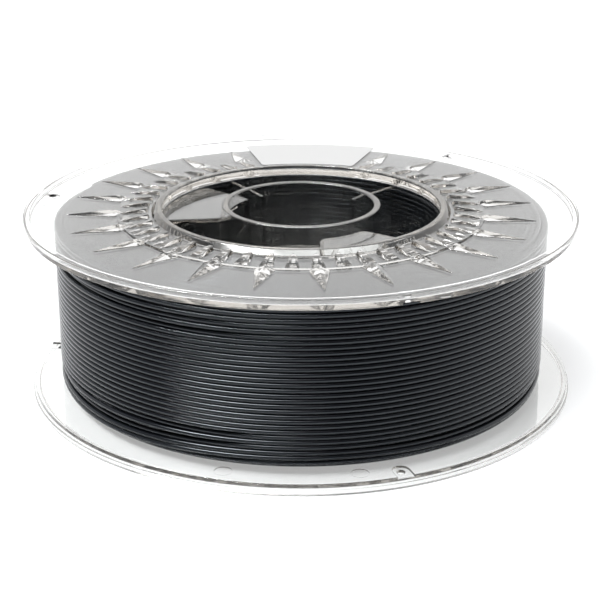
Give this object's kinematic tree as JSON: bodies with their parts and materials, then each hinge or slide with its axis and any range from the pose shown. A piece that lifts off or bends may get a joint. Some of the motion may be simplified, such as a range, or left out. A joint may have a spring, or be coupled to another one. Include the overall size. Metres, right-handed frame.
{
  "type": "filament spool",
  "caption": "Clear plastic spool with dished flanges, drum and open hub, full of wound black filament for a 3-D printer.",
  "frame": {"origin": "centre of the lower flange's outer face, on the spool's axis, at the height that the spool rests on", "axes": "+Z along the bore's axis, from the lower flange to the upper one; the label is on the upper flange at about +Y"},
  "size_m": [0.2, 0.2, 0.067],
  "materials": {
    "clear_plastic": "clear injection-moulded polystyrene, polished",
    "black_filament": "satin black extruded filament",
    "white_label": "plain white self-adhesive label"
  },
  "bodies": {
    "root": {"lower_flange": "clear_plastic", "lower_drum": "clear_plastic", "lower_hub": "clear_plastic", "lower_wide_spoke": "clear_plastic", "lower_narrow_spoke": "clear_plastic", "lower_long_web": "clear_plastic", "lower_short_web": "clear_plastic", "upper_flange": "clear_plastic", "upper_drum": "clear_plastic", "upper_hub": "clear_plastic", "upper_wide_spoke": "clear_plastic", "upper_narrow_spoke": "clear_plastic", "upper_long_web": "clear_plastic", "upper_short_web": "clear_plastic", "filament": "black_filament", "label": "white_label"}
  },
  "joints": []
}
